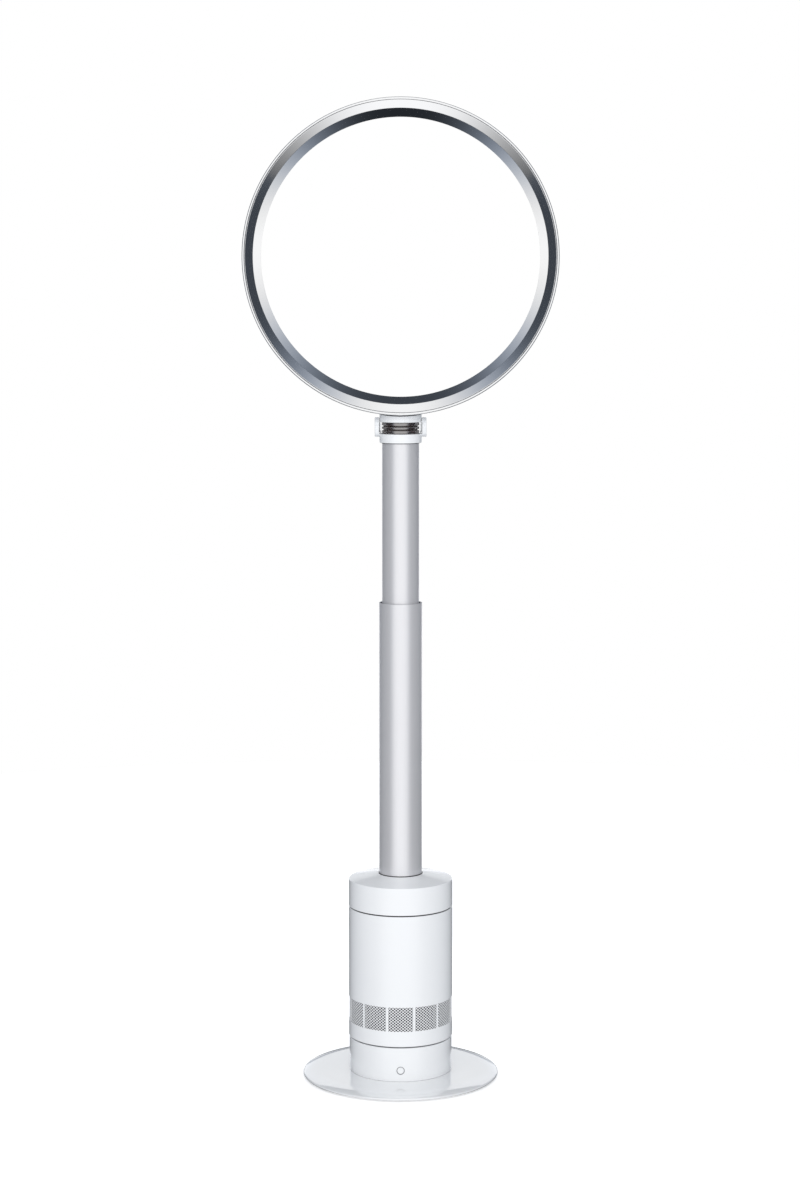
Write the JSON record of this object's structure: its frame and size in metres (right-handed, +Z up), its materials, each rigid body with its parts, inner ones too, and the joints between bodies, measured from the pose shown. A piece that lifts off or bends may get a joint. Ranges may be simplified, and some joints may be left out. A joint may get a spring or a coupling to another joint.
{
  "type": "bladeless fan",
  "caption": "Free-standing bladeless fan: a slim air hoop on a tilting neck and a telescopic column, over a turning cylindrical blower body with a perforated inlet and a flat round foot.",
  "frame": {"origin": "centre of the foot ring on the floor", "axes": "+Z up along the column, the air is blown towards -Y, +X to the viewer's right"},
  "size_m": [0.388, 0.242, 1.212],
  "materials": {
    "gloss_white": "glossy cool white",
    "plate_white": "high gloss white",
    "silver_tube": "fine satin anodised",
    "silver_hoop": "silvered, fine satin",
    "dark_rubber": "matt",
    "bellows_brown": "semi-gloss",
    "grey_plastic": "fine texture",
    "acetal": "smooth",
    "steel": "bright",
    "board": "solder mask",
    "foam": "open-cell foam"
  },
  "bodies": {
    "base": {"foot_ring": "dark_rubber", "base_plate": "plate_white", "ballast_disc": "steel", "plate_screw_1": "steel", "plate_screw_2": "steel", "plate_screw_3": "steel", "base_housing": "gloss_white", "base_deck": "grey_plastic", "button_bezel": "grey_plastic", "button_switch": "acetal", "cable_gland": "dark_rubber", "control_board": "board", "sweep_motor": "steel", "thrust_ring": "acetal"},
    "button": {"power_button": "gloss_white"},
    "pinion": {"drive_pinion": "acetal"},
    "tower": {"turntable": "grey_plastic", "drive_sector": "acetal", "hub_collar": "steel", "body_casing": "gloss_white", "inlet_grille": "gloss_white", "intake_foam": "foam", "blower_bucket": "grey_plastic", "blower_mount_1": "dark_rubber", "blower_mount_2": "dark_rubber", "blower_mount_3": "dark_rubber", "diffuser": "grey_plastic", "motor_can": "steel", "bearing_carrier": "steel", "bearing_lower": "steel", "bearing_upper": "steel", "duct_adapter": "grey_plastic", "cap_gasket": "dark_rubber", "top_cap": "gloss_white", "outer_tube": "silver_tube", "tube_gasket": "dark_rubber", "guide_bush": "acetal"},
    "rotor": {"impeller": "acetal", "motor_shaft": "steel"},
    "mast": {"inner_tube": "silver_tube", "slide_bush": "acetal", "brake_ring": "acetal", "neck_yoke": "gloss_white", "neck_bellows": "bellows_brown", "pivot_pin_left": "gloss_white", "pivot_pin_right": "gloss_white", "tilt_washer_left": "acetal", "tilt_washer_right": "acetal"},
    "head": {"hoop_mount": "gloss_white", "neck_seal": "dark_rubber", "hoop_outer_casing": "gloss_white", "hoop_inner_casing": "silver_hoop"}
  },
  "joints": [
    {"name": "sweep", "type": "hinge", "parent": "base", "child": "tower", "pos_m": [0, 0, 0.0505], "axis": [0, 0, 1], "range_deg": [-45, 45]},
    {"name": "pinion_spin", "type": "hinge", "parent": "base", "child": "pinion", "pos_m": [0, 0.0288, 0.048], "axis": [0, 0, 1], "range_deg": [-180, 180]},
    {"name": "button_press", "type": "slide", "parent": "base", "child": "button", "axis": [0, 1, 0], "range_m": [0, 0.001], "stiffness_N_per_m": 900, "springref_m": -0.0004},
    {"name": "impeller_spin", "type": "hinge", "parent": "tower", "child": "rotor", "pos_m": [0, 0, 0.09], "axis": [0, 0, 1], "continuous": true},
    {"name": "height_slide", "type": "slide", "parent": "tower", "child": "mast", "axis": [0, 0, 1], "range_m": [-0.197, 0.2]},
    {"name": "tilt", "type": "hinge", "parent": "mast", "child": "head", "pos_m": [0, 0, 0.80897], "axis": [1, 0, 0], "range_deg": [-10, 10], "deforming": ["neck_bellows"]}
  ],
  "couplings": [
    {"joint": "pinion_spin", "follows": "sweep", "ratio": 4}
  ]
}
